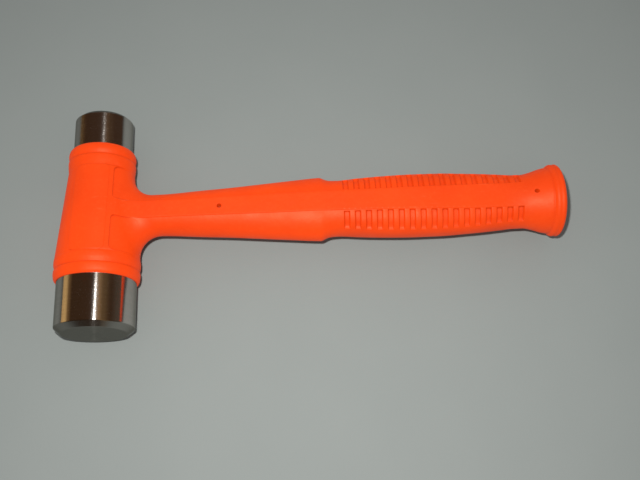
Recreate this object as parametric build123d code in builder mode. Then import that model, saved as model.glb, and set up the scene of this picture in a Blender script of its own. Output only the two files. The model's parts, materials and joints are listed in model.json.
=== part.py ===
"""Dead blow mallet: two flat steel faces on a shot-filled canister, all held in one moulded urethane body.

The mallet lies on its side. +X runs along the handle to the butt, the large face looks along -Y, the small
face along +Y, and +Z is up. The origin is under the middle of the mallet, on the surface it lies on. Reaches
and stations below are counted from the point where the head's axis crosses the handle's axis.
"""

import os

from build123d import *

os.makedirs("parts", exist_ok=True)

# Overall size, in millimetres
collar_radius = 24.2  # the widest ring of the moulded head, which carries it on a table
large_reach = 69.4  # head axis crossing to the large face
small_reach = 62.2  # head axis crossing to the small face
butt_reach = 268.7  # head axis crossing to the end of the handle

# Steel faces: the steel stands out of the moulding beyond each lip
large_radius = 22.2
large_flat_radius = 18.55
large_bevel = 3.0
large_lip = 40.1
large_shoulder = 37.0
large_spigot_end = 25.0
small_radius = 17.0
small_flat_radius = 14.9
small_bevel = 1.9
small_lip = 40.2
small_shoulder = 38.0
small_spigot_end = 28.0
edge_rounding = 0.6
large_lip_rounding = 1.9
small_lip_rounding = 1.9

# Moulded head: a plain taper between two ringed collars
large_taper_end = (23.75, -25.4)  # radius, place along the head
small_taper_end = (19.2, 24.4)
large_collar_start = -27.4
small_collar_radius = 19.5
small_collar_start = 26.6
large_groove = -33.9
small_groove = 33.2
groove_half_width = 0.6
large_groove_radius = 23.5
small_groove_radius = 18.8

# Moulded handle: oval sections, each (station, half width across, half height)
neck_sections = [
    (0, 12.3, 12.3),
    (36, 12.3, 12.4),
    (60, 13.85, 12.9),
    (95, 16.5, 13.75),
    (128, 19.1, 14.5),
]
step_sections = [(128, 19.1, 14.5), (131, 17.55, 14.5), (134.5, 16.75, 14.5)]
grip_sections = [
    (134.5, 16.75, 14.5),
    (152, 17.65, 14.6),
    (184, 19.0, 14.55),
    (210, 18.45, 13.9),
    (234, 16.7, 13.2),
    (246, 16.1, 14.2),
]
flare_sections = [(246, 16.1, 14.2), (252, 17.2, 16.0), (257.5, 18.8, 18.2), (260.9, 19.4, 19.4)]
junction_fillet = 11.0
flat_line = [
    (19, 20.5),
    (25, 13.4),
    (36, 11.4),
    (60, 12.0),
    (95, 12.95),
    (128, 13.8),
    (168, 13.7),
    (199, 13.2),
    (218, 12.4),
    (236, 12.3),
    (246, 13.9),
    (252, 16.6),
    (257, 20.5),
]  # height of the flat band on each side of the handle
band_half_width = 9.0  # wide enough to reach both edges of the flat
butt_groove = 260.9
butt_groove_radius = 19.4
butt_lip = 262.0
butt_lip_radius = 20.4
butt_rim = 265.4
butt_rim_radius = 21.1
butt_face_radius = 16.0

# Recesses in the moulding
slot_count = 17
first_slot = 143.4
slot_pitch = 6.23
slot_width = 3.1
slot_depth = 1.45
slot_side_depth = 0.5  # how much narrower the oval of the slots' floors is than the handle, on each side
slot_inner = 7.0  # from the middle line to the end of the slot beside the flat
slot_outer_margin = 1.5  # from the handle's side to the outer end of the slot
pocket_depth = 0.8
pocket_near = 10.8
pocket_inner = 5.2
pocket_outer = 26.2
pocket_corner = 2.0
panel_large_radius = 24.1  # the panel follows the taper, standing a little proud of it
panel_small_radius = 19.2
panel_back = -11.0
panel_front = 8.5
panel_half_length = 26.8
pin_hole_stations = [70.6, 252.0]
pin_hole_radius = 1.25

# Canister and the loose shot inside it
canister_radius = 14.3
canister_bore = 11.9
shot_radius = 2.2
shot_pitch = 4.45
shot_layers = 7
shot_rings = [6, 12]
shot_clearance = 0.3  # between the charge and the spigot that it rests against

# Steel core of the handle
boss_radius = 9.0
boss_end = 27.0
boss_weld_radius = 11.5
boss_weld_end = 18.0
rod_radius = 6.35
rod_start = 14.8
rod_end = 256.0
ring_stations = [45, 92, 139, 186, 227]
ring_radius = 9.4
ring_width = 3.0
disc_station = 250.0
disc_radius = 11.0
disc_thickness = 4.0
large_weld = (4.0, 4.0)  # leg up the face, leg along the canister
small_weld = (2.4, 2.6)
rod_weld_leg = 2.4
disc_weld_leg = 1.8
bead_bulge = 0.57  # share of each leg at the middle of a weld's face; 0.5 would be a flat face

# Frame
overall_length = butt_reach + collar_radius
crossing = Vector(collar_radius - overall_length / 2, (large_reach - small_reach) / 2, collar_radius)
head_axis = Axis(crossing, (0, 1, 0))
handle_axis = Axis(crossing, (1, 0, 0))
middle_plane = Plane(crossing)
side_plane = Plane(crossing, x_dir=(1, 0, 0), z_dir=(0, -1, 0))  # local x along the handle, local y up
head_profile = Plane(crossing, x_dir=(0, 0, 1), z_dir=(-1, 0, 0))  # local x outwards, local y along the head


def across_handle(station):
    """The plane square to the handle at a station, with local x across the handle and local y up."""
    return Plane(crossing + Vector(station, 0, 0), x_dir=(0, 1, 0), z_dir=(1, 0, 0))


def across_head(reach):
    """The plane square to the head's axis at a reach towards the small face."""
    return Plane(crossing + Vector(0, reach, 0), x_dir=(1, 0, 0), z_dir=(0, 1, 0))


def grip_size(station):
    """Half width and half height of the grip at a station, read between its sections."""
    for (start, width, height), (end, next_width, next_height) in zip(grip_sections, grip_sections[1:]):
        if start <= station <= end:
            share = (station - start) / (end - start)
            return width + share * (next_width - width), height + share * (next_height - height)
    raise ValueError(f"station {station} is not on the grip")


def weld_bead(corner, rise, run):
    """A fillet weld's section: a corner, a leg each way, and a bulging face between the legs' ends."""
    across, along = corner
    with BuildSketch() as bead:
        with BuildLine():
            Polyline((across, along + run), corner, (across + rise, along))
            ThreePointArc(
                (across + rise, along),
                (across + rise * bead_bulge, along + run * bead_bulge),
                (across, along + run),
            )
        make_face()
    return bead.sketch


# Large striking face: a turned steel disc with a bevelled flat face and a spigot for the canister
with BuildPart() as large_striking_face:
    with BuildSketch(head_profile):
        with BuildLine():
            Polyline(
                (0, -large_reach),
                (large_flat_radius, -large_reach),
                (large_radius, large_bevel - large_reach),
                (large_radius, -large_shoulder),
                (canister_bore, -large_shoulder),
                (canister_bore, -large_spigot_end),
                (0, -large_spigot_end),
                close=True,
            )
        face_sketch = make_face()
        bevel_corners = face_sketch.vertices().sort_by(Axis.Y)[1:3]
        fillet(bevel_corners, edge_rounding)
    revolve(axis=head_axis)
large_striking_face.part.label = "large_striking_face"
export_step(large_striking_face.part, "parts/large_striking_face.step")

# Small striking face: the same form on a smaller diameter
with BuildPart() as small_striking_face:
    with BuildSketch(head_profile):
        with BuildLine():
            Polyline(
                (0, small_reach),
                (small_flat_radius, small_reach),
                (small_radius, small_reach - small_bevel),
                (small_radius, small_shoulder),
                (canister_bore, small_shoulder),
                (canister_bore, small_spigot_end),
                (0, small_spigot_end),
                close=True,
            )
        make_face()
    revolve(axis=head_axis)
small_striking_face.part.label = "small_striking_face"
export_step(small_striking_face.part, "parts/small_striking_face.step")

# Canister: a steel tube between the shoulders of the two faces
with BuildPart() as shot_canister:
    with BuildSketch(across_head(-large_shoulder)):
        Circle(canister_radius)
        Circle(canister_bore, mode=Mode.SUBTRACT)
    extrude(amount=large_shoulder + small_shoulder)
shot_canister.part.label = "shot_canister"
export_step(shot_canister.part, "parts/shot_canister.step")

# Ring welds that close the canister against each face
with BuildPart() as large_face_weld:
    with BuildSketch(head_profile):
        add(weld_bead((canister_radius, -large_shoulder), *large_weld))
    revolve(axis=head_axis)
large_face_weld.part.label = "large_face_weld"
export_step(large_face_weld.part, "parts/large_face_weld.step")

with BuildPart() as small_face_weld:
    with BuildSketch(head_profile):
        add(weld_bead((canister_radius, small_shoulder), small_weld[0], -small_weld[1]))
    revolve(axis=head_axis)
small_face_weld.part.label = "small_face_weld"
export_step(small_face_weld.part, "parts/small_face_weld.step")

# Loose steel shot, as one charge at the small end of the chamber: the lower end when the mallet lies on a
# table, since the small collar is the thinner one
charge_start = small_spigot_end - shot_clearance - shot_radius - shot_pitch * (shot_layers - 1)
with BuildPart() as steel_shot:
    for layer in range(shot_layers):
        with Locations(across_head(charge_start + shot_pitch * layer)):
            Sphere(shot_radius)
            for ring, count in enumerate(shot_rings, start=1):
                with PolarLocations(ring * shot_pitch, count):
                    Sphere(shot_radius)
steel_shot.part.label = "steel_shot"
export_step(steel_shot.part, "parts/steel_shot.step")

# Rod boss: a steel collar saddled onto the canister, which takes the end of the rod
with BuildPart() as canister_blank:
    with BuildSketch(across_head(-large_shoulder)):
        Circle(canister_radius)
    extrude(amount=large_shoulder + small_shoulder)

with BuildPart() as rod_boss:
    with BuildSketch(across_handle(0)):
        Circle(boss_radius)
        Circle(rod_radius, mode=Mode.SUBTRACT)
    extrude(amount=boss_end)
    add(canister_blank.part, mode=Mode.SUBTRACT)
rod_boss.part.label = "rod_boss"
export_step(rod_boss.part, "parts/rod_boss.step")

# Weld around the foot of the boss, with its inner side following the canister
with BuildPart() as boss_weld:
    with BuildSketch(middle_plane):
        with BuildLine():
            Polyline(
                (0, boss_radius),
                (boss_weld_end, boss_radius),
                (canister_radius, boss_weld_radius),
                (0, boss_weld_radius),
                close=True,
            )
        make_face()
    revolve(axis=handle_axis)
    add(canister_blank.part, mode=Mode.SUBTRACT)
boss_weld.part.label = "boss_weld"
export_step(boss_weld.part, "parts/boss_weld.step")

# Core rod of the handle
with BuildPart() as core_rod:
    with BuildSketch(across_handle(rod_start)):
        Circle(rod_radius)
    extrude(amount=rod_end - rod_start)
core_rod.part.label = "core_rod"
export_step(core_rod.part, "parts/core_rod.step")

with BuildPart() as rod_weld:
    with BuildSketch(middle_plane):
        add(weld_bead((boss_end, rod_radius), rod_weld_leg, rod_weld_leg))
    revolve(axis=handle_axis)
rod_weld.part.label = "rod_weld"
export_step(rod_weld.part, "parts/rod_weld.step")

# Rings pressed on the rod, which key the moulding to it
with BuildPart() as anchor_rings:
    for station in ring_stations:
        with BuildSketch(across_handle(station)):
            Circle(ring_radius)
            Circle(rod_radius, mode=Mode.SUBTRACT)
    extrude(amount=ring_width)
anchor_rings.part.label = "anchor_rings"
export_step(anchor_rings.part, "parts/anchor_rings.step")

# Disc near the end of the rod, which stops the moulding being pulled off
with BuildPart() as anchor_disc:
    with BuildSketch(across_handle(disc_station)):
        Circle(disc_radius)
        Circle(rod_radius, mode=Mode.SUBTRACT)
    extrude(amount=disc_thickness)
anchor_disc.part.label = "anchor_disc"
export_step(anchor_disc.part, "parts/anchor_disc.step")

with BuildPart() as disc_weld:
    with BuildSketch(middle_plane):
        add(weld_bead((disc_station + disc_thickness, rod_radius), disc_weld_leg, disc_weld_leg))
    revolve(axis=handle_axis)
disc_weld.part.label = "disc_weld"
export_step(disc_weld.part, "parts/disc_weld.step")

# Flat cutter: everything beyond the line of the handle's flat, above and below
with BuildPart() as flat_cutter:
    with BuildSketch(side_plane):
        with BuildLine():
            Spline(*flat_line)
            Line(flat_line[-1], flat_line[0])
        make_face()
    extrude(amount=band_half_width, both=True)
    mirror(about=middle_plane)

# Pocket cutter: a skin off the handle's side of the taper, apart from the flat that runs on from the handle
with BuildPart() as junction_core:
    with BuildSketch(head_profile):
        with BuildLine():
            Polyline(
                (0, large_taper_end[1]),
                (large_taper_end[0] - pocket_depth, large_taper_end[1]),
                (small_taper_end[0] - pocket_depth, small_taper_end[1]),
                (0, small_taper_end[1]),
                close=True,
            )
        make_face()
    revolve(axis=head_axis)

with BuildPart() as pocket_cutter:
    with BuildSketch(middle_plane):
        with Locations((pocket_near, 0)):
            Rectangle(collar_radius, 2 * pocket_outer, align=(Align.MIN, Align.CENTER))
            Rectangle(collar_radius, 2 * pocket_inner, align=(Align.MIN, Align.CENTER), mode=Mode.SUBTRACT)
    extrude(amount=collar_radius, both=True)
    fillet(edges().filter_by(Axis.Z).group_by(Axis.X)[0], pocket_corner)
    add(junction_core.part, mode=Mode.SUBTRACT)

# Panel: a slightly raised blank rectangle on each flat side of the head
with BuildPart() as panel_skin:
    with BuildSketch(head_profile):
        with BuildLine():
            Polyline(
                (0, -panel_half_length),
                (panel_large_radius, -panel_half_length),
                (panel_small_radius, panel_half_length),
                (0, panel_half_length),
                close=True,
            )
        make_face()
    revolve(axis=head_axis)

with BuildPart() as head_panels:
    with BuildSketch(middle_plane):
        with Locations(((panel_back + panel_front) / 2, 0)):
            Rectangle(panel_front - panel_back, 2 * panel_half_length)
    extrude(amount=collar_radius, both=True)
    add(panel_skin.part, mode=Mode.INTERSECT)

# Neck: the first stretch of the handle, joined to the head by a rounded fillet
with BuildPart() as neck:
    add(junction_core.part)
    for station, half_width, half_height in neck_sections:
        with BuildSketch(across_handle(station)):
            Ellipse(half_width, half_height)
    loft()
    fillet(edges(Select.NEW).filter_by(GeomType.BSPLINE), junction_fillet)

# Moulded body: head and handle in one piece, around all the steel that it covers
with BuildPart() as urethane_jacket:
    with BuildSketch(head_profile):
        with BuildLine():
            Polyline(
                (0, -large_lip),
                (collar_radius, -large_lip),
                (collar_radius, large_groove - groove_half_width),
                (large_groove_radius, large_groove),
                (collar_radius, large_groove + groove_half_width),
                (collar_radius, large_collar_start),
                large_taper_end,
                small_taper_end,
                (small_collar_radius, small_collar_start),
                (small_collar_radius, small_groove - groove_half_width),
                (small_groove_radius, small_groove),
                (small_collar_radius, small_groove + groove_half_width),
                (small_collar_radius, small_lip),
                (0, small_lip),
                close=True,
            )
        sleeve_sketch = make_face()
        sleeve_ends = sleeve_sketch.vertices().group_by(Axis.Y)
        fillet(sleeve_ends[0].sort_by(Axis.X)[-1], large_lip_rounding)
        fillet(sleeve_ends[-1].sort_by(Axis.X)[-1], small_lip_rounding)
    revolve(axis=head_axis)
    add(pocket_cutter.part, mode=Mode.SUBTRACT)
    add(neck.part)
    for sections in (step_sections, grip_sections, flare_sections):
        for station, half_width, half_height in sections:
            with BuildSketch(across_handle(station)):
                Ellipse(half_width, half_height)
        loft()
    with BuildSketch(middle_plane):
        with BuildLine():
            Polyline((butt_groove, 0), (butt_groove, butt_groove_radius), (butt_lip, butt_lip_radius))
            Spline(
                (butt_lip, butt_lip_radius),
                (butt_rim, butt_rim_radius),
                (butt_reach, butt_face_radius),
                tangents=[(1, 0.6), (0, -1)],
            )
            Polyline((butt_reach, butt_face_radius), (butt_reach, 0), (butt_groove, 0))
        make_face()
    revolve(axis=handle_axis)
    add(flat_cutter.part, mode=Mode.SUBTRACT)
    add(head_panels.part)
    for slot in range(slot_count):
        station = first_slot + slot_pitch * slot
        half_width, half_height = grip_size(station)
        slot_outer = half_width - slot_outer_margin
        with BuildSketch(across_handle(station - slot_width / 2)):
            with Locations((slot_inner, 0), (-slot_outer, 0)):
                Rectangle(slot_outer - slot_inner, 2 * collar_radius, align=(Align.MIN, Align.CENTER))
            Ellipse(half_width - slot_side_depth, half_height - slot_depth, mode=Mode.SUBTRACT)
        extrude(amount=slot_width, mode=Mode.SUBTRACT)
    with BuildSketch(middle_plane):
        with Locations(*[(station, 0) for station in pin_hole_stations]):
            Circle(pin_hole_radius)
    extrude(amount=collar_radius, both=True, mode=Mode.SUBTRACT)
    with BuildSketch(across_head(-large_shoulder)):
        Circle(canister_radius)
    extrude(amount=large_shoulder + small_shoulder, mode=Mode.SUBTRACT)
    with BuildSketch(across_handle(0)):
        Circle(rod_radius)
    extrude(amount=rod_end, mode=Mode.SUBTRACT)
    for piece in (
        large_striking_face,
        small_striking_face,
        large_face_weld,
        small_face_weld,
        rod_boss,
        boss_weld,
        rod_weld,
        anchor_rings,
        anchor_disc,
        disc_weld,
    ):
        add(piece.part, mode=Mode.SUBTRACT)
urethane_jacket.part.label = "urethane_jacket"
export_step(urethane_jacket.part, "parts/urethane_jacket.step")
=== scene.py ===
"""The looks of the dead blow mallet: moulded urethane body, polished steel faces, and the steel core inside.

Shapes are worked out in millimetres from the point where the head's axis crosses the handle's axis: x along
the handle to the butt, y along the head to the small face, z up. Each piece is moved to the frame at the end.
"""

import json
import math

import bmesh
import bpy
import numpy as np
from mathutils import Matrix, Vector


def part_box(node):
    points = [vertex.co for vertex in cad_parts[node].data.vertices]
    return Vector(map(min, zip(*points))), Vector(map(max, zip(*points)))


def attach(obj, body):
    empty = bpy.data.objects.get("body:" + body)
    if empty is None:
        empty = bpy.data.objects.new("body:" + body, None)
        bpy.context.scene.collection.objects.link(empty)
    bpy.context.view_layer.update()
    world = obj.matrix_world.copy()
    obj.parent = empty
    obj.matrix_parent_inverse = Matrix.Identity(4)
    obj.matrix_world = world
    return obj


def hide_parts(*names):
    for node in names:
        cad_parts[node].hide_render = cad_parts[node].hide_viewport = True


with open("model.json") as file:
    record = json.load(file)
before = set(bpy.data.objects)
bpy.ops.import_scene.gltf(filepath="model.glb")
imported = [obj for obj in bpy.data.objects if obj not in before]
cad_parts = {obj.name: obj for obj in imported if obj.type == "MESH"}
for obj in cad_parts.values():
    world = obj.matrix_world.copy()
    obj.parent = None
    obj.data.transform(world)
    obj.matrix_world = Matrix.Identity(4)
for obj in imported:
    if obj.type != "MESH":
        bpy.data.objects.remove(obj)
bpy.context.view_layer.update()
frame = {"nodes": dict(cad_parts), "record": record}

MM = 0.001


# ---------------------------------------------------------------- sizes read from the frame, in millimetres


def node_box(node):
    """The lowest and highest corner of a CAD node, in millimetres from the crossing of the two axes."""
    low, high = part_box(node)
    return (low - CROSSING) / MM, (high - CROSSING) / MM


head_low, head_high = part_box("large_striking_face")
rod_low, rod_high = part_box("core_rod")
CROSSING = Vector(
    (
        (head_low.x + head_high.x) / 2,
        (rod_low.y + rod_high.y) / 2,
        (rod_low.z + rod_high.z) / 2,
    )
)

jacket_low, jacket_high = node_box("urethane_jacket")
LARGE_LIP = -jacket_low.y
SMALL_LIP = jacket_high.y
BUTT = jacket_high.x

large_low, large_high = node_box("large_striking_face")
LARGE_RADIUS = large_high.z
LARGE_REACH = -large_low.y
LARGE_SPIGOT_END = -large_high.y
small_low, small_high = node_box("small_striking_face")
SMALL_RADIUS = small_high.z
SMALL_REACH = small_high.y
SMALL_SPIGOT_END = small_low.y

canister_low, canister_high = node_box("shot_canister")
CANISTER = canister_high.z
LARGE_SHOULDER = -canister_low.y
SMALL_SHOULDER = canister_high.y
large_weld_high = node_box("large_face_weld")[1]
small_weld_low, small_weld_high = node_box("small_face_weld")
rod_high = node_box("core_rod")[1]
ROD_END = rod_high.x
ROD = rod_high.z

# ---------------------------------------------------------------- shape of the moulding, in millimetres

TAPER = (23.75, -25.4, 19.2, 24.4)  # radius and place of the head's taper at its large and small end
# (station, half width) along the handle
NECK_WIDTHS = [(0, 12.2), (36, 12.2), (44, 12.55), (52, 13.2), (60, 13.8), (76, 14.85), (95, 16.45)]
SHOULDER_WIDTHS = [(111, 17.8), (126, 19.0), (128.2, 19.1), (129.4, 18.8), (130.6, 18.15), (132.2, 17.35)]
GRIP_WIDTHS = [(134, 16.85), (136, 16.6), (140, 16.4), (152, 17.25), (163, 17.95), (184, 18.6), (199, 18.55)]
TAIL_WIDTHS = [(210, 18.05), (222, 17.35), (234, 16.3), (240, 15.85), (246, 15.9)]
FLARE_WIDTHS = [(252, 17.1), (257.5, 18.75), (260.3, 19.25)]
HEIGHTS = [  # (station, half height) along the handle
    (0, 12.1),
    (40, 12.15),
    (60, 12.5),
    (83, 13.05),
    (105, 13.6),
    (128, 14.2),
    (136, 14.15),
    (150, 13.85),
    (168, 13.75),
    (193, 13.4),
    (218, 12.55),
    (234, 12.75),
    (246, 14.2),
    (252, 16.1),
    (257.5, 18.3),
    (260.3, 19.35),
]
BAND_WIDTHS = [  # (station, half width) of the flat band
    (0, 5.2),
    (36, 4.95),
    (60, 5.1),
    (83, 5.4),
    (105, 5.65),
    (128, 5.8),
    (150, 6.0),
    (193, 6.75),
    (218, 7.1),
]
BAND_STEP = 0.42  # how far the flat band stands above the oval beside it
GRIP_SQUARENESS = 0.42  # added to the power of the oval along the grip
SQUARE_START = (128.0, 150.0)
SQUARE_END = (232.0, 250.0)
BAND_FADE = (228.0, 247.0)  # the band and its flat run out into the flare here

JUNCTION_END = 45.0  # where the handle's own sections start
LAST_OVAL = 260.3  # where they end, before the rim
JUNCTION_RADII = (14.0, 10.8)  # fillet between handle and head, towards the large and the small face
RADIUS_BLEND = 14.0  # to each side of the handle's axis
SLOT_COUNT = 17
FIRST_SLOT = 143.4
SLOT_PITCH = 6.23
SLOT_HALF_WIDTH = 1.6
SLOT_DEPTH = 1.6
SLOT_INNER = 6.7
SLOT_MARGIN = 1.4  # from the handle's side to the slot's outer end
SLOT_GAP = 0.45  # at least, from the band to the slot
SLOT_START_OFFSETS = (-0.1, 0.15, 0.4)
SLOTTED_COLUMNS = (100.0, 136.0)  # where the columns shift to follow the slots' ends
PANEL_X = (-11.0, 8.5)
PANEL_RISE = 0.32
PANEL_CORNER = 2.6
PANEL_BACK_CORNER = 4.2
PANEL_ENDS = (-27.0, 26.2)
POCKET_X = 10.8
POCKET_DEPTH = 0.95
POCKET_CORNER = 3.0
POCKET_BAR_CORNER = 2.0
BAR_HALF_WIDTH = 5.2
PIN_STATIONS = (70.6, 252.0)
PIN_RADIUS = 1.25


def smooth(value, start, end):
    """0 before start, 1 after end, and a soft S between them."""
    share = np.clip((np.asarray(value, float) - start) / (end - start), 0, 1)
    return share * share * (3 - 2 * share)


def curve_through(points):
    """A smooth curve through (place, value) points that never overshoots them."""
    places, values = np.array(points, float).T
    gaps = np.diff(places)
    slopes = np.diff(values) / gaps
    tangents = np.concatenate([slopes[:1], np.zeros(len(slopes) - 1), slopes[-1:]])
    for i in range(1, len(slopes)):
        if slopes[i - 1] * slopes[i] > 0:
            near, far = gaps[i - 1] + 2 * gaps[i], 2 * gaps[i - 1] + gaps[i]
            tangents[i] = (near + far) / (near / slopes[i - 1] + far / slopes[i])

    def value(place):
        place = np.clip(place, places[0], places[-1])
        i = np.clip(np.searchsorted(places, place, side="right") - 1, 0, len(gaps) - 1)
        t = (place - places[i]) / gaps[i]
        rise = values[i + 1] - values[i]
        bend = gaps[i] * (tangents[i] * (1 - t) - tangents[i + 1] * t)
        return values[i] + rise * t * t * (3 - 2 * t) + bend * t * (1 - t)

    return value


def squareness(x):
    """The power of the oval at station x: 2 for an ellipse, and more along the grip, which is squarer."""
    return 2 + GRIP_SQUARENESS * float(smooth(x, *SQUARE_START) * (1 - smooth(x, *SQUARE_END)))


half_width = curve_through(NECK_WIDTHS + SHOULDER_WIDTHS + GRIP_WIDTHS + TAIL_WIDTHS + FLARE_WIDTHS)
half_height = curve_through(HEIGHTS)
band_width = curve_through(BAND_WIDTHS)


def taper_radius(y):
    """The head's plain radius, without its collars."""
    large, start, small, end = TAPER
    return large + (small - large) * (y - start) / (end - start)


# The oval is divided into four like quarters. Column 0 is the middle of the flat band, EDGE_END is just
# outside its edge, and SIDE is the handle's side. The columns between follow the ends of the slots.
BAND_COLUMNS = 5
EDGE_OFFSETS = (0.0, 0.12, 0.3)
EDGE_START_OFFSET = -0.15
EDGE_END = BAND_COLUMNS + len(EDGE_OFFSETS)
SLOT_FLOOR = EDGE_END + 3
SLOT_SCOOP = SLOT_FLOOR + 11
SLOT_END = SLOT_SCOOP + 6
SIDE = SLOT_END + 12
CORNER = 25  # the column that ends in the corner of the pocket on the head
BAND_LEVELS = np.zeros(SIDE + 1)
BAND_LEVELS[: EDGE_END + 1] = [1.0] * (BAND_COLUMNS + 1) + [0.78, 0.1, 0.0]
SLOT_SHARES = np.zeros(SIDE + 1)
SLOT_SHARES[EDGE_END + 1 : SLOT_FLOOR + 1] = (0.04, 0.82, 0.98)
SLOT_SHARES[SLOT_FLOOR + 1 : SLOT_SCOOP + 1] = 1.0
SLOT_SHARES[SLOT_SCOOP + 1 : SLOT_END + 1] = [math.sqrt(1 - (i / 6) ** 2) for i in range(1, 7)]

QUARTERS = ((1, 1), (1, -1), (-1, -1), (-1, 1))  # sign of y and z, in order round the handle
ROUND = []  # (column, sign of y, sign of z) all the way round
for number, (sign_y, sign_z) in enumerate(QUARTERS):
    columns = range(SIDE) if number % 2 == 0 else range(SIDE, 0, -1)
    ROUND += [(column, sign_y, sign_z) for column in columns]
COLUMN = np.array([entry[0] for entry in ROUND])
SIGN_Y = np.array([entry[1] for entry in ROUND])
SIGN_Z = np.array([entry[2] for entry in ROUND])


def edge_places(half):
    """The columns across the band and its edge, for a band of that half width."""
    inner = [(half + EDGE_START_OFFSET) * i / BAND_COLUMNS for i in range(BAND_COLUMNS + 1)]
    return np.array(inner + [half + offset for offset in EDGE_OFFSETS])


def section_angles(x):
    """The angle from the handle's side at which each column of a quarter stands, at station x."""
    wide, band, power = float(half_width(x)), float(band_width(x)), squareness(x)
    inner = np.arccos((edge_places(band) / wide) ** (power / 2))
    plain = np.linspace(inner[-1], 0, SIDE - EDGE_END + 1)[1:]
    slot_starts = max(SLOT_INNER, band + SLOT_GAP) + np.array(SLOT_START_OFFSETS)
    starts = np.arccos((slot_starts / wide) ** (power / 2))
    outer = math.acos(((wide - SLOT_MARGIN) / wide) ** (power / 2))
    floor = np.linspace(starts[-1], outer, SLOT_END - SLOT_FLOOR + 1)[1:]
    side = np.linspace(floor[-1], 0, SIDE - SLOT_END + 1)[1:]
    slotted = np.concatenate([starts, floor, side])
    share = smooth(x, *SLOTTED_COLUMNS)
    return np.concatenate([inner, plain + (slotted - plain) * share])


def section(x):
    """The y and z of each column of a quarter at station x, and the outward normals of the oval there."""
    wide, high, band = float(half_width(x)), float(half_height(x)), float(band_width(x))
    power = squareness(x)
    angles = section_angles(x)
    y, z = wide * np.cos(angles) ** (2 / power), high * np.sin(angles) ** (2 / power)
    edge = high * (1 - (band / wide) ** power) ** (1 / power)
    fade = float(smooth(x, *BAND_FADE))
    inside = y <= band
    z = np.where(inside, edge + (z - edge) * fade, z)
    z = z + BAND_LEVELS * BAND_STEP * (1 - fade)
    normal = np.stack([(y / wide) ** (power - 1) / wide, np.sin(angles) ** (2 - 2 / power) / high], 1)
    return y, z, normal / np.linalg.norm(normal, axis=1, keepdims=True)


def full_ring(x, y, z):
    """One ring of points round the handle, from the y and z of a quarter."""
    return np.stack([np.full(len(COLUMN), x), SIGN_Y * y[COLUMN], SIGN_Z * z[COLUMN]], 1)


SLOT_WALL = ((0.3, 0.0), (0.12, 0.06), (-0.28, 0.9), (-0.42, 0.98), (-0.65, 1.0))  # place out from it, share
NECK_STATIONS = (JUNCTION_END, 126.0, 1.6)  # start, end, step
SHOULDER_STATIONS = (126.4, 136.2, 0.55)
BEFORE_SLOTS = (137.2, 138.3, 139.3)
FLARE_STEPS = 15


def handle_stations():
    """Stations along the handle up to the rim, each with the share of the slots' depth that it is cut to."""
    stations = [(x, 0.0) for x in np.arange(*NECK_STATIONS)]
    stations += [(x, 0.0) for x in np.arange(*SHOULDER_STATIONS)]
    stations += [(x, 0.0) for x in BEFORE_SLOTS]
    for slot in range(SLOT_COUNT):
        middle = FIRST_SLOT + SLOT_PITCH * slot
        wall = [(middle - SLOT_HALF_WIDTH - out, share) for out, share in SLOT_WALL]
        stations += wall + [(middle, 1.0)] + [(2 * middle - x, share) for x, share in reversed(wall)]
        stations += [(middle + SLOT_PITCH / 2, 0.0)]
    last = stations[-1][0]
    stations += [(x, 0.0) for x in np.linspace(last, LAST_OVAL, FLARE_STEPS + 1)[1:]]
    return stations


RIM_LINE = (  # the groove and the two soft ridges of the rim: place from the butt's end, radius
    (7.9, 19.22),
    (7.5, 19.35),
    (7.15, 19.85),
    (6.75, 20.35),
    (6.2, 20.75),
    (5.5, 20.98),
    (4.9, 20.93),
    (4.3, 20.84),
    (3.7, 20.93),
)
RIM_ROUND = (3.1, 2.65, 16.4, 4.7)  # start from the end, run, inner radius, rise
RIM_STEPS = 9
END_DOME = 0.45
END_RADII = (12.5, 8.5, 4.5, 1.0)


def butt_rings():
    """Place and radius of the rings that close the butt: rim, rounded corner and slightly domed end."""
    rings = [(BUTT - back, radius) for back, radius in RIM_LINE]
    back, run, inner, rise = RIM_ROUND
    for step in range(RIM_STEPS + 1):
        angle = math.pi / 2 * step / RIM_STEPS
        rings.append((BUTT - back + run * math.sin(angle), inner + rise * math.cos(angle)))
    for radius in END_RADII:
        rings.append((BUTT - END_DOME * (radius / inner) ** 2, radius))
    return rings


def handle_rings():
    """All rings of the handle from the junction to the butt."""
    rings = []
    for x, cut in handle_stations():
        y, z, normal = section(x)
        depth = SLOT_DEPTH * cut * SLOT_SHARES
        rings.append(full_ring(x, y - depth * normal[:, 0], z - depth * normal[:, 1]))
    angles = section_angles(LAST_OVAL)
    for x, radius in butt_rings():
        rings.append(full_ring(x, radius * np.cos(angles), radius * np.sin(angles)))
    return rings


# ---------------------------------------------------------------- head of the moulding

PANEL_EDGE_ROWS = (0.3, 0.15, 0.0)  # the last rows before each end of the panel, for its raised edge
BEFORE_EDGE = 0.4


def row_places(end):
    """Rows of the head from its middle to the end of the panel, in line with the handle's columns."""
    inner = list(edge_places(BAR_HALF_WIDTH))
    count = CORNER - EDGE_END - len(PANEL_EDGE_ROWS)
    share = np.linspace(0, 1, count + 1)[1:]
    eased = 0.5 * share + 0.25 * (1 - np.cos(math.pi * share))
    start, stop = inner[-1], abs(end) - PANEL_EDGE_ROWS[0] - BEFORE_EDGE
    edge = [abs(end) - back for back in PANEL_EDGE_ROWS]
    return np.array(inner + list(start + (stop - start) * eased) + edge)


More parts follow.
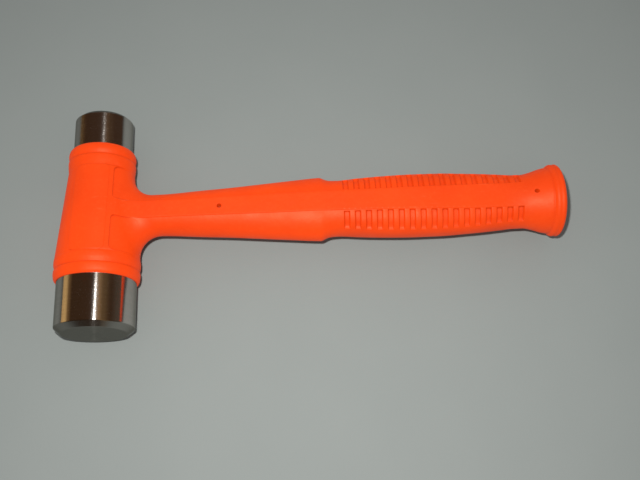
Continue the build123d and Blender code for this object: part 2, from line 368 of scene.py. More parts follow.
LARGE_COLLAR_LINE = (  # place along the head, counted from the crossing, and radius
    (27.3, 23.86),
    (27.7, 24.02),
    (28.2, 24.14),
    (29.2, 24.2),
    (30.6, 24.19),
    (31.2, 24.12),
    (31.8, 23.98),
    (32.6, 23.72),
    (33.2, 23.5),
    (33.55, 23.38),
    (33.8, 23.42),
    (34.0, 23.62),
    (34.25, 23.98),
    (34.55, 24.13),
    (35.2, 24.2),
    (36.4, 24.17),
    (37.6, 24.05),
    (38.6, 23.82),
    (39.3, 23.5),
    (39.8, 23.1),
    (40.05, 22.75),
    (40.1, 22.5),
)
SMALL_COLLAR_LINE = (
    (26.5, 19.04),
    (27.2, 19.1),
    (28.2, 19.24),
    (29.4, 19.38),
    (30.6, 19.46),
    (31.8, 19.5),
    (32.3, 19.47),
    (32.6, 19.36),
    (32.9, 19.04),
    (33.15, 18.82),
    (33.4, 18.76),
    (33.8, 18.84),
    (34.4, 19.06),
    (35.1, 19.3),
    (35.9, 19.46),
    (36.7, 19.5),
    (37.5, 19.44),
    (38.3, 19.28),
    (39.0, 19.02),
    (39.6, 18.64),
    (40.0, 18.2),
    (40.15, 17.9),
    (40.2, 17.6),
)
CLOSING_RADII = (12.0, 4.0)  # flat ends that the steel core is cut through

FRONT_COLUMNS = SIDE - CORNER
FRONT_EDGE = (0.15, 0.0, -0.2)  # outside the panel's edge
PANEL_COLUMNS = 16
BACK_COLUMNS = 14
HALF_ROUND = FRONT_COLUMNS + 2 * len(FRONT_EDGE) + PANEL_COLUMNS + BACK_COLUMNS - 1
EDGE_LEVELS = (0.0, 0.55, 1.0)
EVEN_RUN = 4.5  # beyond the panel the columns even out within this run


def corner_shift(distance, radius):
    """How far a rounded corner has moved in, at a distance along its start."""
    distance = min(max(distance, 0.0), radius)
    return radius - math.sqrt(radius * radius - distance * distance)


def head_columns(y):
    """The angle of each column of the head's upper half at place y, from the handle round to the back.

    The columns follow the edges of the pockets and the panel, so that these come out crisp.
    """
    reference = taper_radius(y)
    end = PANEL_ENDS[1] if y > 0 else -PANEL_ENDS[0]
    panel_end = end - PANEL_EDGE_ROWS[1]
    shift = corner_shift(abs(y) - (panel_end - PANEL_CORNER), PANEL_CORNER)
    back_corner = PANEL_BACK_CORNER if y > 0 else PANEL_CORNER
    back_shift = corner_shift(abs(y) - (panel_end - back_corner), back_corner)
    pocket = POCKET_X + corner_shift(abs(y) - (end - POCKET_CORNER), POCKET_CORNER)
    pocket += corner_shift(BAR_HALF_WIDTH + POCKET_BAR_CORNER - abs(y), POCKET_BAR_CORNER)
    front = [PANEL_X[1] - shift + out for out in FRONT_EDGE]
    back = [PANEL_X[0] + back_shift - out for out in reversed(FRONT_EDGE)]
    inner = np.linspace(front[-1], back[0], PANEL_COLUMNS + 1)[1:-1]
    edge_angles = np.arcsin(np.array([pocket] + front + list(inner) + back) / reference)
    first = np.linspace(math.pi / 2, edge_angles[0], FRONT_COLUMNS + 1)[:-1]
    last = np.linspace(edge_angles[-1], -math.pi / 2, BACK_COLUMNS + 1)[1:]
    angles = np.concatenate([first, edge_angles, last])
    even = np.linspace(math.pi / 2, -math.pi / 2, HALF_ROUND + 1)
    return angles + (even - angles) * smooth(abs(y), end, end + EVEN_RUN)


def panel_levels():
    """The share of the panel's rise at each column of the upper half."""
    levels = np.zeros(HALF_ROUND + 1)
    start = FRONT_COLUMNS + 1
    levels[start : start + 3] = EDGE_LEVELS
    levels[start + 3 : start + 3 + PANEL_COLUMNS - 1] = 1.0
    levels[start + 2 + PANEL_COLUMNS : start + 5 + PANEL_COLUMNS] = EDGE_LEVELS[::-1]
    return levels


def head_rows():
    """Place, radius and panel share of every row of the head, from the large end to the small end."""
    small, large = row_places(PANEL_ENDS[1]), row_places(PANEL_ENDS[0])
    middle = [-y for y in large[:0:-1]] + list(small)
    count = len(small) - 1
    shares = [1.0] * (2 * count + 1)
    for back, share in enumerate(EDGE_LEVELS):
        shares[back] = shares[-1 - back] = share
    rows = [(-LARGE_LIP, radius, 0.0) for radius in reversed(CLOSING_RADII)]
    rows += [(-y, radius, 0.0) for y, radius in reversed(LARGE_COLLAR_LINE)]
    first = len(rows)
    rows += [(y, taper_radius(y), share) for y, share in zip(middle, shares)]
    rows += [(y, radius, 0.0) for y, radius in SMALL_COLLAR_LINE]
    rows += [(SMALL_LIP, radius, 0.0) for radius in CLOSING_RADII]
    return rows, first, first + 2 * count


def head_points():
    """The head's grid of points: rows along the head, columns all the way round from the handle's side."""
    rows, first, last = head_rows()
    levels = panel_levels()
    grid = np.zeros((len(rows), 2 * HALF_ROUND, 3))
    for r, (y, radius, share) in enumerate(rows):
        angles = head_columns(y)
        rise = PANEL_RISE * np.minimum(levels, share)
        for c in range(2 * HALF_ROUND):
            mirrored = c > HALF_ROUND
            column = 2 * HALF_ROUND - c if mirrored else c
            reach = radius + rise[column]
            x, z = reach * math.sin(angles[column]), reach * math.cos(angles[column])
            grid[r, c] = (x, y, -z if mirrored else z)
    return grid, first, last


# ---------------------------------------------------------------- junction of head and handle

MEET_LIMIT = 0.97  # keeps the fillet defined where the two surfaces run nearly alongside each other
FREE_COLUMNS = 8  # how far from the band's edge its points are free to move across


def junction_field(points):
    """Signed distance to the plain junction: taper and neck, joined by a fillet that a ball would roll."""
    x, y, z = points[..., 0], points[..., 1], points[..., 2]
    reach = np.hypot(x, z)
    head = reach - taper_radius(y)
    wide, high, band = half_width(x), half_height(x), band_width(x)
    scale = np.sqrt((y / wide) ** 2 + (z / high) ** 2)
    slope_y, slope_z = y / wide**2, z / high**2
    slope = np.hypot(slope_y, slope_z)
    oval = (scale - 1) * scale / np.maximum(slope, 1e-6)
    flat = np.abs(z) - high * np.sqrt(1 - (band / wide) ** 2)
    neck = np.maximum(oval, flat)
    lean = np.where(flat > oval, 1.0, np.abs(slope_z) / np.maximum(slope, 1e-6))
    meet = np.clip(np.abs(z) / reach * lean, 0, MEET_LIMIT)
    large, small = JUNCTION_RADII
    radius = large + (small - large) * smooth(y, -RADIUS_BLEND, RADIUS_BLEND)
    u, v = radius - head, radius - neck
    ball = radius - np.sqrt(np.maximum(u * u + v * v - 2 * meet * u * v, 0) / (1 - meet * meet))
    between = (v > meet * u) & (u > meet * v) & (u > 0) & (v > 0)
    return np.where(between, ball, np.minimum(head, neck))


def field_slope(points):
    """The direction in which the junction's field rises fastest."""
    step = 0.02
    slope = np.zeros(points.shape)
    for axis in range(3):
        move = np.zeros(3)
        move[axis] = step
        slope[..., axis] = junction_field(points + move) - junction_field(points - move)
    return slope / (2 * step)


def across_free(points):
    """Slope with its y share held back beside the band, so that the band's edge stays straight."""
    slope = field_slope(points)
    free = smooth(COLUMN, EDGE_END, EDGE_END + FREE_COLUMNS)
    slope[..., 1] = slope[..., 1] * free
    return slope


JUNCTION_STARTS = (0.14, 0.32, 0.7)  # rings close to the pocket's edge
JUNCTION_RINGS = 26
PATH_STEPS = 240
SETTLE_ROUNDS = 14
POCKET_FADE = (34, 76)  # degrees round the head's axis
BAND_START = (16, 32)  # where the band rises from the head
POCKET_RING_SHARES = (0.0, 0.4, 0.93)
POCKET_COLUMN_SHARES = np.ones(SIDE + 1)
POCKET_COLUMN_SHARES[: EDGE_END + 1] = [0.0] * (BAND_COLUMNS + 1) + [0.12, 0.8, 1.0]


def junction_rings(edge, neck_ring):
    """Rings from the head's opening to the first ring of the handle, both left out."""
    plain = neck_ring.copy()
    plain[:, 2] -= SIGN_Z * BAND_LEVELS[COLUMN] * BAND_STEP
    corner = plain.copy()
    corner[:, 0] = np.sqrt(np.maximum(taper_radius(plain[:, 1]) ** 2 - plain[:, 2] ** 2, 1))
    t = np.linspace(0, 1, PATH_STEPS + 1)[:, None, None]
    path = edge * (1 - t) ** 2 + corner * 2 * t * (1 - t) + plain * t * t
    steps = np.linalg.norm(np.diff(path, axis=0), axis=2)
    length = np.concatenate([np.zeros((1, len(COLUMN))), steps.cumsum(0)])
    rest = np.linspace(0, 1, JUNCTION_RINGS + 1)[1:-1]
    rings = []
    for ring in range(len(JUNCTION_STARTS) + len(rest)):
        points = np.zeros((len(COLUMN), 3))
        for j in range(len(COLUMN)):
            total = length[-1, j]
            if ring < len(JUNCTION_STARTS):
                reach = JUNCTION_STARTS[ring]
            else:
                begin = JUNCTION_STARTS[-1]
                reach = begin + (total - begin) * rest[ring - len(JUNCTION_STARTS)]
            for axis in range(3):
                points[j, axis] = np.interp(reach, length[:, j], path[:, j, axis])
            if COLUMN[j] <= EDGE_END:
                points[j, 1] = edge[j, 1] + (plain[j, 1] - edge[j, 1]) * reach / total
        for _ in range(SETTLE_ROUNDS):
            slope = across_free(points)
            power = np.maximum((slope * field_slope(points)).sum(1), 1e-3)
            points = points - slope * (junction_field(points) / power)[:, None]
        out = across_free(points)
        out = out / np.linalg.norm(out, axis=1, keepdims=True)
        turn = np.degrees(np.arctan2(points[:, 0], np.abs(points[:, 2])))
        ring_share = POCKET_RING_SHARES[ring + 1] if ring + 1 < len(POCKET_RING_SHARES) else 1.0
        pocket = POCKET_DEPTH * ring_share * POCKET_COLUMN_SHARES[COLUMN] * (1 - smooth(turn, *POCKET_FADE))
        rise = BAND_STEP * BAND_LEVELS[COLUMN] * smooth(points[:, 0], *BAND_START)
        rings.append(points + out * (rise - pocket)[:, None])
    return rings


# ---------------------------------------------------------------- meshes


def new_piece(name, points, faces):
    """A mesh object in the frame, from points in millimetres about the crossing."""
    mesh = bpy.data.meshes.new(name)
    mesh.from_pydata([tuple(CROSSING + Vector(point) * MM) for point in points], [], faces)
    mesh.update()
    piece = bpy.data.objects.new(name, mesh)
    bpy.context.scene.collection.objects.link(piece)
    return piece


def ring_faces(first, second, flip=False):
    """Quads between two closed rings of point numbers."""
    faces = []
    for i in range(len(first)):
        j = (i + 1) % len(first)
        quad = (first[i], first[j], second[j], second[i])
        faces.append(quad[::-1] if flip else quad)
    return faces


def lathe(name, profile, axis, segments):
    """A closed turned solid from (place along the axis, radius) points. Its two ends are closed flat."""
    points, rings = [], []
    for place, radius in profile:
        ring = []
        for i in range(segments):
            angle = 2 * math.pi * i / segments
            across, up = radius * math.cos(angle), radius * math.sin(angle)
            ring.append(len(points))
            points.append((across, place, up) if axis == "Y" else (place, across, up))
        rings.append(ring)
    faces = []
    for near, far in zip(rings, rings[1:]):
        faces += ring_faces(near, far)
    faces += [tuple(rings[0][::-1]), tuple(rings[-1])]
    piece = new_piece(name, points, faces)
    face_out(piece)
    return piece


def face_out(piece):
    """Turns every face of a closed mesh outwards."""
    work = bmesh.new()
    work.from_mesh(piece.data)
    bmesh.ops.recalc_face_normals(work, faces=work.faces)
    work.to_mesh(piece.data)
    work.free()


def jacket_skin():
    """The outside of the moulding as one closed mesh."""
    head, first, last = head_points()
    rows, round_count = head.shape[:2]
    handle = handle_rings()
    middle = first + (last - first) // 2
    opening = []
    for column, sign_y, sign_z in ROUND:
        row = middle + sign_y * min(column, CORNER)
        side = sign_z * (FRONT_COLUMNS - max(column - CORNER, 0))
        opening.append((row, side % round_count))
    edge = np.array([head[row, column] for row, column in opening])
    rings = junction_rings(edge, handle[0]) + handle

    points, numbers = [], -np.ones((rows, round_count), int)
    for r in range(rows):
        for c in range(round_count):
            around = min(c, round_count - c)
            if first < r < last and around < FRONT_COLUMNS:
                continue
            numbers[r, c] = len(points)
            points.append(head[r, c])
    faces = []
    for r in range(rows - 1):
        for c in range(round_count):
            quad = (numbers[r, c], numbers[r, (c + 1) % round_count])
            quad += (numbers[r + 1, (c + 1) % round_count], numbers[r + 1, c])
            within = first <= r < last and (c < FRONT_COLUMNS or c >= round_count - FRONT_COLUMNS)
            if not within:
                faces.append(quad)
    faces += [tuple(numbers[0]), tuple(numbers[-1][::-1])]

    before = [int(numbers[row, column]) for row, column in opening]
    for ring in rings:
        current = list(range(len(points), len(points) + len(ring)))
        points += list(ring)
        faces += ring_faces(before, current)
        before = current
    faces.append(tuple(before))
    skin = new_piece("urethane_body", points, [tuple(int(i) for i in face) for face in faces])
    face_out(skin)
    return skin


def cut_away(piece, tools):
    """Takes the tools' solids out of a piece and removes them."""
    group = bpy.data.collections.new("tools")
    for tool in tools:
        group.objects.link(tool)
    cut = piece.modifiers.new("cut", "BOOLEAN")
    cut.operation = "DIFFERENCE"
    cut.operand_type = "COLLECTION"
    cut.collection = group
    cut.solver = "EXACT"
    shown = piece.evaluated_get(bpy.context.evaluated_depsgraph_get())
    mesh = bpy.data.meshes.new_from_object(shown)
    piece.modifiers.clear()
    piece.data = mesh
    for tool in tools:
        bpy.data.objects.remove(tool)
    bpy.data.collections.remove(group)


TOOL_REACH = 10.0  # how far the cutting solid of the head stands out of the moulding
HEAD_SEGMENTS = 128
ROD_SEGMENTS = 64
PIN_SEGMENTS = 32
PIN_BEYOND = 1.0
PIN_FLARE = 1.2
PIN_FLARE_DEPTH = 0.2


def core_tools():
    """The solids of the steel core that the moulding is cast around, and the holes left by its pins."""
    head_core = lathe(
        "head_core",
        [
            (-LARGE_LIP - TOOL_REACH, LARGE_RADIUS),
            (-LARGE_SHOULDER, LARGE_RADIUS),
            (-LARGE_SHOULDER, large_weld_high.z),
            (large_weld_high.y, CANISTER),
            (small_weld_low.y, CANISTER),
            (SMALL_SHOULDER, small_weld_high.z),
            (SMALL_SHOULDER, SMALL_RADIUS),
            (SMALL_LIP + TOOL_REACH, SMALL_RADIUS),
        ],
        "Y",
        HEAD_SEGMENTS,
    )
    boss_high = node_box("rod_boss")[1]
    boss_weld_high = node_box("boss_weld")[1]
    rod_weld_high = node_box("rod_weld")[1]
    disc_low, disc_high = node_box("anchor_disc")
    disc_weld_high = node_box("disc_weld")[1]
    line = [
        (CANISTER / 2, boss_weld_high.z),
        (CANISTER, boss_weld_high.z),
        (boss_weld_high.x, boss_high.z),
        (boss_high.x, boss_high.z),
        (boss_high.x, rod_weld_high.z),
        (rod_weld_high.x, ROD),
    ]
    for start, end, radius in ring_spans():
        line += [(start, ROD), (start, radius), (end, radius), (end, ROD)]
    line += [(disc_low.x, ROD), (disc_low.x, disc_high.z), (disc_high.x, disc_high.z)]
    line += [(disc_high.x, disc_weld_high.z), (disc_weld_high.x, ROD), (ROD_END, ROD)]
    tools = [head_core, lathe("rod_core", line, "X", ROD_SEGMENTS)]
    for station in PIN_STATIONS:
        tools.append(pin_tool(station))
    return tools


def ring_spans():
    """Start, end and radius of each anchor ring, read from the CAD node's points."""
    points = np.array([(v.co - CROSSING) / MM for v in frame["nodes"]["anchor_rings"].data.vertices])
    radius = np.hypot(points[:, 1], points[:, 2]).max()
    places = np.unique(points[:, 0].round(3))
    return [(places[i], places[i + 1], radius) for i in range(0, len(places) - 1, 2)]


def pin_tool(station):
    """A round pin right through the handle, widened a little where it leaves the surface."""
    top = float(half_height(station)) + BAND_STEP
    if station < BAND_FADE[0]:
        top = float(section(station)[1][0])
    wide, deep = PIN_RADIUS + PIN_FLARE, top - PIN_FLARE_DEPTH
    above = top + PIN_BEYOND
    profile = [(-above, wide), (-deep, PIN_RADIUS), (deep, PIN_RADIUS), (above, wide)]
    tool = lathe("pin", profile, "Y", PIN_SEGMENTS)
    for vertex in tool.data.vertices:
        x, y, z = (vertex.co - CROSSING) / MM
        vertex.co = CROSSING + Vector((x + station, -z, y)) * MM
    return tool


AREA_WEIGHT = 60


def soften(piece, sharp_degrees=50):
    """Smooth shading that keeps flat areas flat and real corners sharp."""
    piece.data.shade_smooth()
    piece.data.set_sharp_from_angle(angle=math.radians(sharp_degrees))
    weighted = piece.modifiers.new("weighted", "WEIGHTED_NORMAL")
    weighted.keep_sharp = True
    weighted.weight = AREA_WEIGHT


# ---------------------------------------------------------------- materials


def new_material(name):
    """An empty node material with its Principled shader."""
    material = bpy.data.materials.new(name)
    material.use_nodes = True
    return material, material.node_tree, material.node_tree.nodes["Principled BSDF"]


def add_node(tree, kind, settings=None, **inputs):
    """A node with its settings, and inputs that are either values or another node's output."""
    node = tree.nodes.new(kind)
    for key, value in (settings or {}).items():
        setattr(node, key, value)
    for key, value in inputs.items():
        plug(tree, node, key.replace("_", " "), value)
    return node


def plug(tree, node, key, value):
    """Sets one input of a node, named or numbered, or links another node's output to it."""
    socket = node.inputs[int(key[1:])] if key[0] == "i" and key[1:].isdigit() else node.inputs[key]
    if isinstance(value, bpy.types.NodeSocket):
        tree.links.new(value, socket)
    else:
        socket.default_value = value


def noise(tree, size, detail=2.0, rough=0.5, vector=None):
    """Noise whose features are about that many millimetres across."""
    place = vector or add_node(tree, "ShaderNodeTexCoord").outputs["Object"]
    scale = 1 / (size * MM)
    made = add_node(tree, "ShaderNodeTexNoise", Vector=place, Scale=scale, Detail=detail, Roughness=rough)
    return made.outputs["Fac"]


def spread(tree, value, low, high, start=0.0, end=1.0):
    """A value's range from start to end, stretched to run from low to high."""
    made = add_node(tree, "ShaderNodeMapRange", Value=value, i1=start, i2=end, i3=low, i4=high)
    return made.outputs["Result"]


def mix_colors(tree, share, first, second):
    """Two colours mixed by a share, each a colour or another node's output."""
    made = add_node(tree, "ShaderNodeMix", {"data_type": "RGBA"})
    plug(tree, made, "i0", share)
    plug(tree, made, "i6", first)
    plug(tree, made, "i7", second)
    return made.outputs[2]


def math_node(tree, operation, first, second=0.0):
    """One step of arithmetic."""
    return add_node(tree, "ShaderNodeMath", {"operation": operation}, i0=first, i1=second).outputs[0]


def bump(tree, height, distance, normal=None):
    """A bump of that many millimetres."""
    made = add_node(tree, "ShaderNodeBump", Height=height, Distance=distance * MM, Strength=1.0)
    if normal:
        plug(tree, made, "Normal", normal)
    return made.outputs["Normal"]


def urethane_material():
    """Satin moulded urethane: an even, strong orange with a fine skin, faint flow marks, scuffs, and painted
    shade in its crevices.
    """
    material, tree, shader = new_material("urethane")
    cloud = spread(tree, noise(tree, 34, 3), 0.0, 1.0, 0.35, 0.65)
    color = mix_colors(tree, cloud, (0.8, 0.058, 0.0035, 1), (0.74, 0.05, 0.003, 1))
    fleck = spread(tree, noise(tree, 2.2, 4, 0.65), 0.0, 0.22, 0.5, 0.72)
    color = mix_colors(tree, fleck, color, (0.84, 0.085, 0.01, 1))
    # Painted shade: the orange is darkened in crevices, slots and grooves by how much ambient occlusion finds
    # there, a little patchy by a noise.
    nearby = {"samples": 12, "only_local": True}
    crevice = add_node(tree, "ShaderNodeAmbientOcclusion", nearby, Distance=1.2 * MM)
    crevice_shade = spread(tree, crevice.outputs["AO"], 1.0, 0.0, 0.4, 0.96)
    crevice_shade = math_node(tree, "MULTIPLY", crevice_shade, spread(tree, noise(tree, 9, 3), 0.7, 1.0, 0.3, 0.7))
    color = mix_colors(tree, crevice_shade, color, (0.34, 0.012, 0.001, 1))
    place = add_node(tree, "ShaderNodeTexCoord").outputs["Object"]
    along = add_node(tree, "ShaderNodeMapping", {"vector_type": "POINT"}, Vector=place, Scale=(0.12, 1, 1))
    streak = noise(tree, 1.1, 3, 0.6, along.outputs["Vector"])
    patch = spread(tree, noise(tree, 21, 2), 0, 1, 0.54, 0.7)
    scuff = math_node(tree, "MULTIPLY", spread(tree, streak, 0, 1, 0.58, 0.7), patch)
    color = mix_colors(tree, math_node(tree, "MULTIPLY", scuff, 0.3), color, (0.86, 0.16, 0.05, 1))
    plug(tree, shader, "Base Color", color)
    rough = spread(tree, noise(tree, 13, 4), 0.46, 0.57, 0.3, 0.7)
    plug(tree, shader, "Roughness", math_node(tree, "ADD", rough, math_node(tree, "MULTIPLY", scuff, 0.16)))
    skin = bump(tree, noise(tree, 0.7, 3), 0.045)
    skin = bump(tree, noise(tree, 3.2, 3, 0.6), 0.13, skin)
    skin = bump(tree, noise(tree, 11, 2), 0.2, skin)
    plug(tree, shader, "Normal", bump(tree, scuff, 0.012, skin))
    shader.inputs["Specular IOR Level"].default_value = 0.36
    shader.inputs["Specular Tint"].default_value = (1, 0.72, 0.45, 1)
    shader.inputs["Diffuse Roughness"].default_value = 0.45
    return material


def turned_place(tree):
    """One number that rises along the head and outwards on its flat faces, for the marks of turning."""
    place = add_node(tree, "ShaderNodeTexCoord").outputs["Object"]
    kind = "ShaderNodeVectorMath"
    centre = add_node(tree, kind, {"operation": "SUBTRACT"}, i0=place, i1=tuple(CROSSING)).outputs[0]
    flat = add_node(tree, kind, {"operation": "MULTIPLY"}, i0=centre, i1=(1, 0, 1)).outputs[0]
    reach = add_node(tree, kind, {"operation": "LENGTH"}, i0=flat).outputs["Value"]
    along = add_node(tree, "ShaderNodeSeparateXYZ", Vector=centre).outputs["Y"]
    return math_node(tree, "ADD", reach, along)


def turned_lines(tree, size, detail=2.0):
    """Noise in rings round the head's axis."""
    place = turned_place(tree)
    made = add_node(tree, "ShaderNodeTexNoise", {"noise_dimensions": "1D"}, W=place, Detail=detail)
    made.inputs["Scale"].default_value = 1 / (size * MM)
    return made.outputs["Fac"]


def polished_material():
    """Turned and polished steel: marks of turning draw highlights out along the head, with faint smudges, and
    flat ends darkened by wear and painted shade.
    """
    material, tree, shader = new_material("polished_steel")
    tone = spread(tree, turned_lines(tree, 1.4, 4), 0.0, 1.0, 0.35, 0.65)
    color = mix_colors(tree, tone, (0.6, 0.57, 0.54, 1), (0.56, 0.53, 0.5, 1))
    stain = spread(tree, noise(tree, 7, 5, 0.6), 0.0, 0.35, 0.55, 0.75)
    color = mix_colors(tree, stain, color, (0.46, 0.41, 0.36, 1))
    # The flat ends and their bevels, which face along the head, are darkened: partly wear from striking,
    # partly painted shade standing in for the shadowed floor they mirror.
    outward = add_node(tree, "ShaderNodeTexCoord").outputs["Normal"]
    toward = add_node(tree, "ShaderNodeSeparateXYZ", Vector=outward).outputs["Y"]
    face_wear_and_shade = spread(tree, math_node(tree, "ABSOLUTE", toward), 0.0, 0.8, 0.2, 0.6)
    color = mix_colors(tree, face_wear_and_shade, color, (0.24, 0.23, 0.21, 1))
    plug(tree, shader, "Base Color", color)
    rough = spread(tree, noise(tree, 11, 4), 0.13, 0.16, 0.3, 0.7)
    fine = spread(tree, noise(tree, 0.5, 2), 0.0, 0.13, 0.58, 0.72)
    plug(tree, shader, "Roughness", math_node(tree, "ADD", rough, fine))
    marks = bump(tree, turned_lines(tree, 0.3), 0.0004)
    pits = spread(tree, noise(tree, 0.4, 2), 0.0, 1.0, 0.68, 0.8)
    plug(tree, shader, "Normal", bump(tree, pits, 0.003, marks))
    shader.inputs["Metallic"].default_value = 1.0
    shader.inputs["Specular Tint"].default_value = (0.45, 0.45, 0.43, 1)
    shader.inputs["Anisotropic"].default_value = 0.98
    shader.inputs["Anisotropic Rotation"].default_value = 0.25
    around = add_node(tree, "ShaderNodeTangent", {"direction_type": "RADIAL", "axis": "Y"})
    plug(tree, shader, "Tangent", around.outputs["Tangent"])
    return material


def plain_steel_material():
    """Drawn and turned steel with mill scale in patches."""
    material, tree, shader = new_material("plain_steel")
    scale = spread(tree, noise(tree, 6, 6, 0.65), 0.0, 1.0, 0.42, 0.62)
    color = mix_colors(tree, scale, (0.3, 0.29, 0.28, 1), (0.12, 0.11, 0.1, 1))
    rust = spread(tree, noise(tree, 3, 5, 0.7), 0.0, 0.7, 0.62, 0.74)
    plug(tree, shader, "Base Color", mix_colors(tree, rust, color, (0.3, 0.13, 0.06, 1)))
    plug(tree, shader, "Roughness", spread(tree, scale, 0.32, 0.6))
    grain = bump(tree, noise(tree, 0.4, 3), 0.01)
    plug(tree, shader, "Normal", bump(tree, scale, 0.02, grain))
    plug(tree, shader, "Metallic", spread(tree, rust, 1.0, 0.4))
    return material


def weld_material():
    """As-welded metal: ripples, heat colours and soot."""
    material, tree, shader = new_material("weld_metal")
    heat = noise(tree, 4, 3)
    blued = spread(tree, heat, 0, 1, 0.4, 0.6)
    color = mix_colors(tree, blued, (0.3, 0.27, 0.25, 1), (0.16, 0.17, 0.24, 1))
    straw = spread(tree, noise(tree, 2.4, 3), 0, 0.8, 0.55, 0.7)
    plug(tree, shader, "Base Color", mix_colors(tree, straw, color, (0.42, 0.28, 0.12, 1)))
    plug(tree, shader, "Roughness", spread(tree, heat, 0.34, 0.62, 0.3, 0.7))
    ripple = bump(tree, noise(tree, 1.1, 1), 0.25)
    plug(tree, shader, "Normal", bump(tree, noise(tree, 0.3, 3), 0.02, ripple))
    shader.inputs["Metallic"].default_value = 1.0
    return material


def shot_material():
    """Tumbled steel shot: dull grey, each ball a little marked."""
    material, tree, shader = new_material("shot_steel")
    tone = spread(tree, noise(tree, 2.5, 4), 0, 1, 0.35, 0.65)
    plug(tree, shader, "Base Color", mix_colors(tree, tone, (0.4, 0.4, 0.41, 1), (0.26, 0.255, 0.25, 1)))
    plug(tree, shader, "Roughness", spread(tree, noise(tree, 0.8, 3), 0.25, 0.5, 0.3, 0.7))
    plug(tree, shader, "Normal", bump(tree, noise(tree, 0.35, 3), 0.015))
    shader.inputs["Metallic"].default_value = 1.0
    return material


def floor_material():
    """A plain pale surface with hardly any texture."""
    material, tree, shader = new_material("pale_floor")
    tone = noise(tree, 60, 4)
    color = mix_colors(tree, tone, (0.236, 0.262, 0.256, 1), (0.255, 0.28, 0.273, 1))
    plug(tree, shader, "Base Color", color)
    plug(tree, shader, "Normal", bump(tree, noise(tree, 1.5, 3), 0.05))
    shader.inputs["Roughness"].default_value = 0.75
    return material


MATERIALS = {
    "urethane": urethane_material(),
    "polished_steel": polished_material(),
    "plain_steel": plain_steel_material(),
    "weld_metal": weld_material(),
    "shot_steel": shot_material(),
}


def dress(piece, slot):
    """Gives a piece the material of its slot."""
    piece.data.materials.clear()
    piece.data.materials.append(MATERIALS[slot])


# ---------------------------------------------------------------- pieces

jacket = jacket_skin()
cut_away(jacket, core_tools())
soften(jacket)
dress(jacket, "urethane")
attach(jacket, "mallet")
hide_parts("urethane_jacket")


def rounded(profile, roundings, steps=4):
    """A profile with some corners rounded: each rounding is the number of a corner and its radius."""
    line = []
    for number, point in enumerate(profile):
        if number not in roundings:
            line.append(point)
            continue
        here = np.array(point, float)
        before = np.array(profile[number - 1], float) - here
        after = np.array(profile[number + 1], float) - here
        before, after = before / np.linalg.norm(before), after / np.linalg.norm(after)
        half = math.acos(float(np.clip(before @ after, -1, 1))) / 2
        run = roundings[number] / math.tan(half)
        first, last = here + before * run, here + after * run
        for step in range(steps + 1):
            t = step / steps
            line.append(tuple(first * (1 - t) ** 2 + here * 2 * t * (1 - t) + last * t * t))
    return line


FACE_SEGMENTS = 192
POLE = 0.4
FACES = {  # node: flat radius, bevel, edge rounding, radius, reach, shoulder, spigot end, direction
    "large_striking_face": (18.55, 3.0, 0.9, LARGE_RADIUS, LARGE_REACH, LARGE_SHOULDER, LARGE_SPIGOT_END, -1),
    "small_striking_face": (14.9, 1.9, 0.5, SMALL_RADIUS, SMALL_REACH, SMALL_SHOULDER, SMALL_SPIGOT_END, 1),
}
SPIGOT = 11.9
SPIGOT_ROUNDING = 0.5
FACE_SHARP = 40  # degrees

for node, (flat, bevel, rounding, radius, reach, shoulder, spigot_end, way) in FACES.items():
    outline = [
        (reach, POLE),
        (reach, flat),
        (reach - bevel, radius),
        (shoulder, radius),
        (shoulder, SPIGOT),
        (spigot_end, SPIGOT),
        (spigot_end, POLE),
    ]
    outline = rounded(outline, {1: rounding, 2: rounding, 5: SPIGOT_ROUNDING})
    outline = [(way * y, r) for y, r in outline]
    steel_face = lathe(node.replace("striking", "steel"), outline, "Y", FACE_SEGMENTS)
    soften(steel_face, FACE_SHARP)
    dress(steel_face, "polished_steel")
    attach(steel_face, "mallet")
    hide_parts(node)

for part in frame["record"]["subparts"]:
    if part["node"] not in ("urethane_jacket", *FACES):
        node_object = frame["nodes"][part["node"]]
        dress(node_object, part["material_slot"])

# ---------------------------------------------------------------- floor, light and camera

FLOOR_HALF = 3.0
CAMERA_PLACE = Vector((121.055, -176.191, 444.920))  # millimetres from the crossing
CAMERA_AIM = Vector((0.013745, 0.333174, -0.942765))
CAMERA_LENS = 45.95

floor_mesh = bpy.data.meshes.new("floor")
corners = [(-1, -1), (1, -1), (1, 1), (-1, 1)]
floor_mesh.from_pydata([(x * FLOOR_HALF, y * FLOOR_HALF, 0) for x, y in corners], [], [(0, 1, 2, 3)])
floor = bpy.data.objects.new("floor", floor_mesh)
floor_mesh.materials.append(floor_material())
bpy.context.scene.collection.objects.link(floor)

camera_data = bpy.data.cameras.new("camera")
camera_data.lens = CAMERA_LENS
camera = bpy.data.objects.new("camera", camera_data)
bpy.context.scene.collection.objects.link(camera)
camera.location = CROSSING + CAMERA_PLACE * MM
camera.rotation_euler = CAMERA_AIM.to_track_quat("-Z", "Y").to_euler()
bpy.context.scene.camera = camera


def area_light(name, place, target, size, power, color):
    """A round soft light that points at a target."""
    data = bpy.data.lights.new(name, "AREA")
    data.shape = "DISK"
    data.size = size
    data.energy = power
    data.color = color
    light = bpy.data.objects.new(name, data)
    light.location = place
    light.rotation_euler = (target - place).to_track_quat("-Z", "Y").to_euler()
    bpy.context.scene.collection.objects.link(light)


KEY_TARGET = Vector((0, 0, 0.02))
KEY_OFFSET = Vector((-0.02, 0.034, 0.01))  # from the lens, as a flash stands beside it
KEY_SIZE = 0.015
KEY_POWER = 2.5
KEY_COLOR = (1.0, 0.98, 0.95)
area_light("key", camera.location + KEY_OFFSET, KEY_TARGET, KEY_SIZE, KEY_POWER, KEY_COLOR)


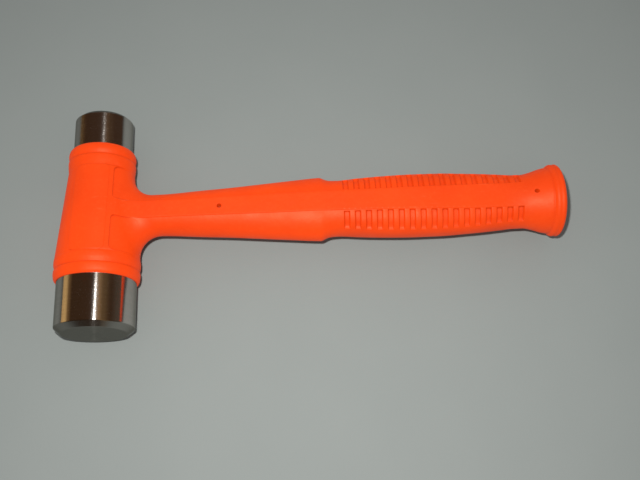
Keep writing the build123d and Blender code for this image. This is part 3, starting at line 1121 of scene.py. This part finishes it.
AMBIENT = (0.34, 0.337, 0.33, 1)  # soft light from all round
BACKDROP = (0.42, 0.425, 0.42, 1)  # what is seen beyond the floor
ASIDE = (0.28, 0.42)  # how far a direction points along +Y where the room turns to its plain dark side
ASIDE_COLOR = (0.055, 0.026, 0.013, 1)
FAR = (0.6, 0.8)  # and where it turns to the pale wall behind
FAR_COLOR = (0.25, 0.23, 0.22, 1)
ROOM = (  # what the steel mirrors in each direction, by how far it points along +X
    (-1.0, (0.55, 0.33, 0.13)),
    (-0.95, (0.85, 0.54, 0.22)),
    (-0.89, (0.2, 0.11, 0.045)),
    (-0.8, (0.055, 0.028, 0.013)),
    (0.15, (0.058, 0.028, 0.014)),
    (0.36, (0.36, 0.21, 0.095)),
    (0.58, (0.16, 0.095, 0.042)),
    (0.82, (0.06, 0.032, 0.017)),
    (1.0, (0.1, 0.08, 0.06)),
)


def world_light():
    """Soft even light and a pale backdrop, with a dim, warm room that only shiny surfaces mirror."""
    world = bpy.data.worlds.new("room")
    bpy.context.scene.world = world
    world.use_nodes = True
    tree = world.node_tree
    direction = add_node(tree, "ShaderNodeTexCoord").outputs["Generated"]
    split = add_node(tree, "ShaderNodeSeparateXYZ", Vector=direction)
    ramp = add_node(tree, "ShaderNodeValToRGB", Fac=spread(tree, split.outputs["X"], 0.0, 1.0, -1.0, 1.0))
    ramp.color_ramp.interpolation = "EASE"
    for number, (place, color) in enumerate(ROOM):
        if number >= len(ramp.color_ramp.elements):
            ramp.color_ramp.elements.new(1.0)
        ramp.color_ramp.elements[number].position = (place + 1) / 2
        ramp.color_ramp.elements[number].color = (*color, 1)
    aside = spread(tree, split.outputs["Y"], 0.0, 1.0, *ASIDE)
    color = mix_colors(tree, aside, ramp.outputs["Color"], ASIDE_COLOR)
    far = spread(tree, split.outputs["Y"], 0.0, 1.0, *FAR)
    color = mix_colors(tree, far, color, FAR_COLOR)
    rays = add_node(tree, "ShaderNodeLightPath")
    color = mix_colors(tree, rays.outputs["Is Glossy Ray"], AMBIENT, color)
    color = mix_colors(tree, rays.outputs["Is Camera Ray"], color, BACKDROP)
    plug(tree, tree.nodes["Background"], "Color", color)
    world.cycles.sampling_method = "NONE"
    tree.nodes["Background"].inputs["Strength"].default_value = 1.0


world_light()
bpy.context.scene.view_settings.view_transform = "Standard"
